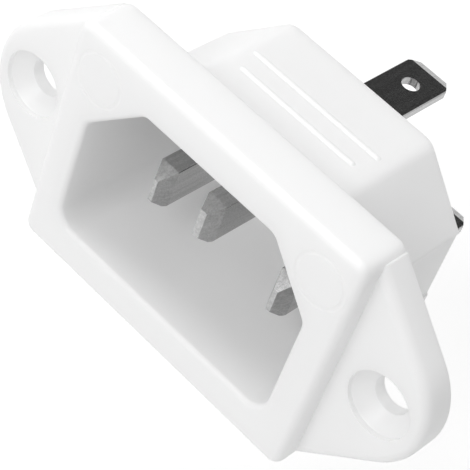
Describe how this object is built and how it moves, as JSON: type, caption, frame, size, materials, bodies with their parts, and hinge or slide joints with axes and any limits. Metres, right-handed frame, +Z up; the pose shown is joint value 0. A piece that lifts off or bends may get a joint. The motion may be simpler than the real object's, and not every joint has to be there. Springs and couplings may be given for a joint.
{
  "type": "c14 panel inlet socket",
  "caption": "Screw-mounted mains inlet with a keyed cavity, flat contact pins and flat push-on tabs behind the panel.",
  "frame": {"origin": "middle of the panel face, half way between the two screw holes", "axes": "+Z up towards the earth pin and the keyed corners, +X along the line of the two screws, mouth of the socket facing -Y and wiring tabs pointing +Y"},
  "size_m": [0.0488, 0.03, 0.024],
  "materials": {
    "housing_plastic": "white moulded thermoplastic, satin to semi-gloss",
    "terminal_metal": "nickel-plated brass, satin with fine drawing lines"
  },
  "bodies": {
    "root": {"housing": "housing_plastic", "power_terminal_left": "terminal_metal", "power_terminal_right": "terminal_metal", "earth_terminal": "terminal_metal"}
  },
  "joints": []
}
